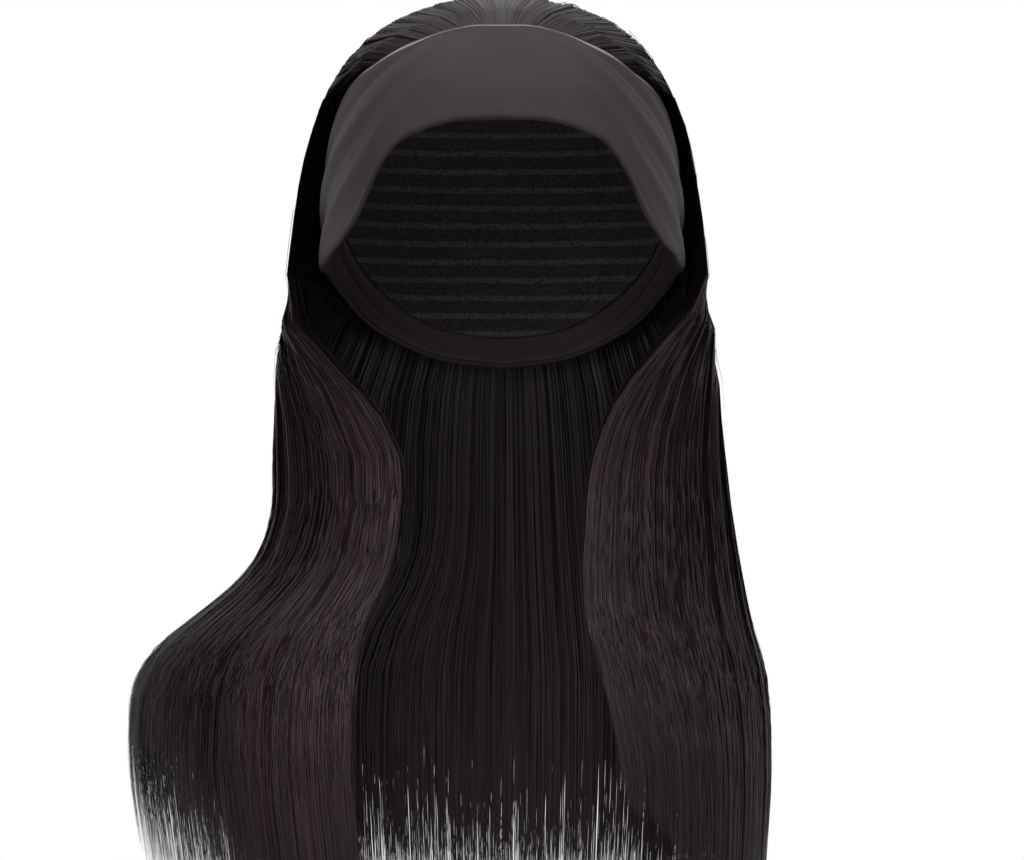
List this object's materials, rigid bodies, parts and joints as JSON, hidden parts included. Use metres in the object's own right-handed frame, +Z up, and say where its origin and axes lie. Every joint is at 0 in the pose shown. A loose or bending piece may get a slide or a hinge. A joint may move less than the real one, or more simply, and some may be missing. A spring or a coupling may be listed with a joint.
{
  "type": "half wig",
  "caption": "Half wig with a wide gathered headband, a cap behind it and long straight hair combed back and falling past the shoulders.",
  "frame": {"origin": "inner crown point of the cap, where the wig sits on a head", "axes": "+Z up, the wearer faces -Y, +X is the wearer's left"},
  "size_m": [0.2989, 0.2178, 0.4492],
  "materials": {
    "headband": "soft satin knit",
    "cap": "matt net",
    "hair": "straight silky hair"
  },
  "bodies": {
    "root": {"headband": "headband", "cap": "cap", "crown_hair": "hair", "left_front_hair": "hair", "left_shoulder_hair": "hair", "left_back_hair": "hair", "centre_back_hair": "hair", "right_back_hair": "hair", "right_shoulder_hair": "hair", "right_front_hair": "hair"}
  },
  "joints": []
}
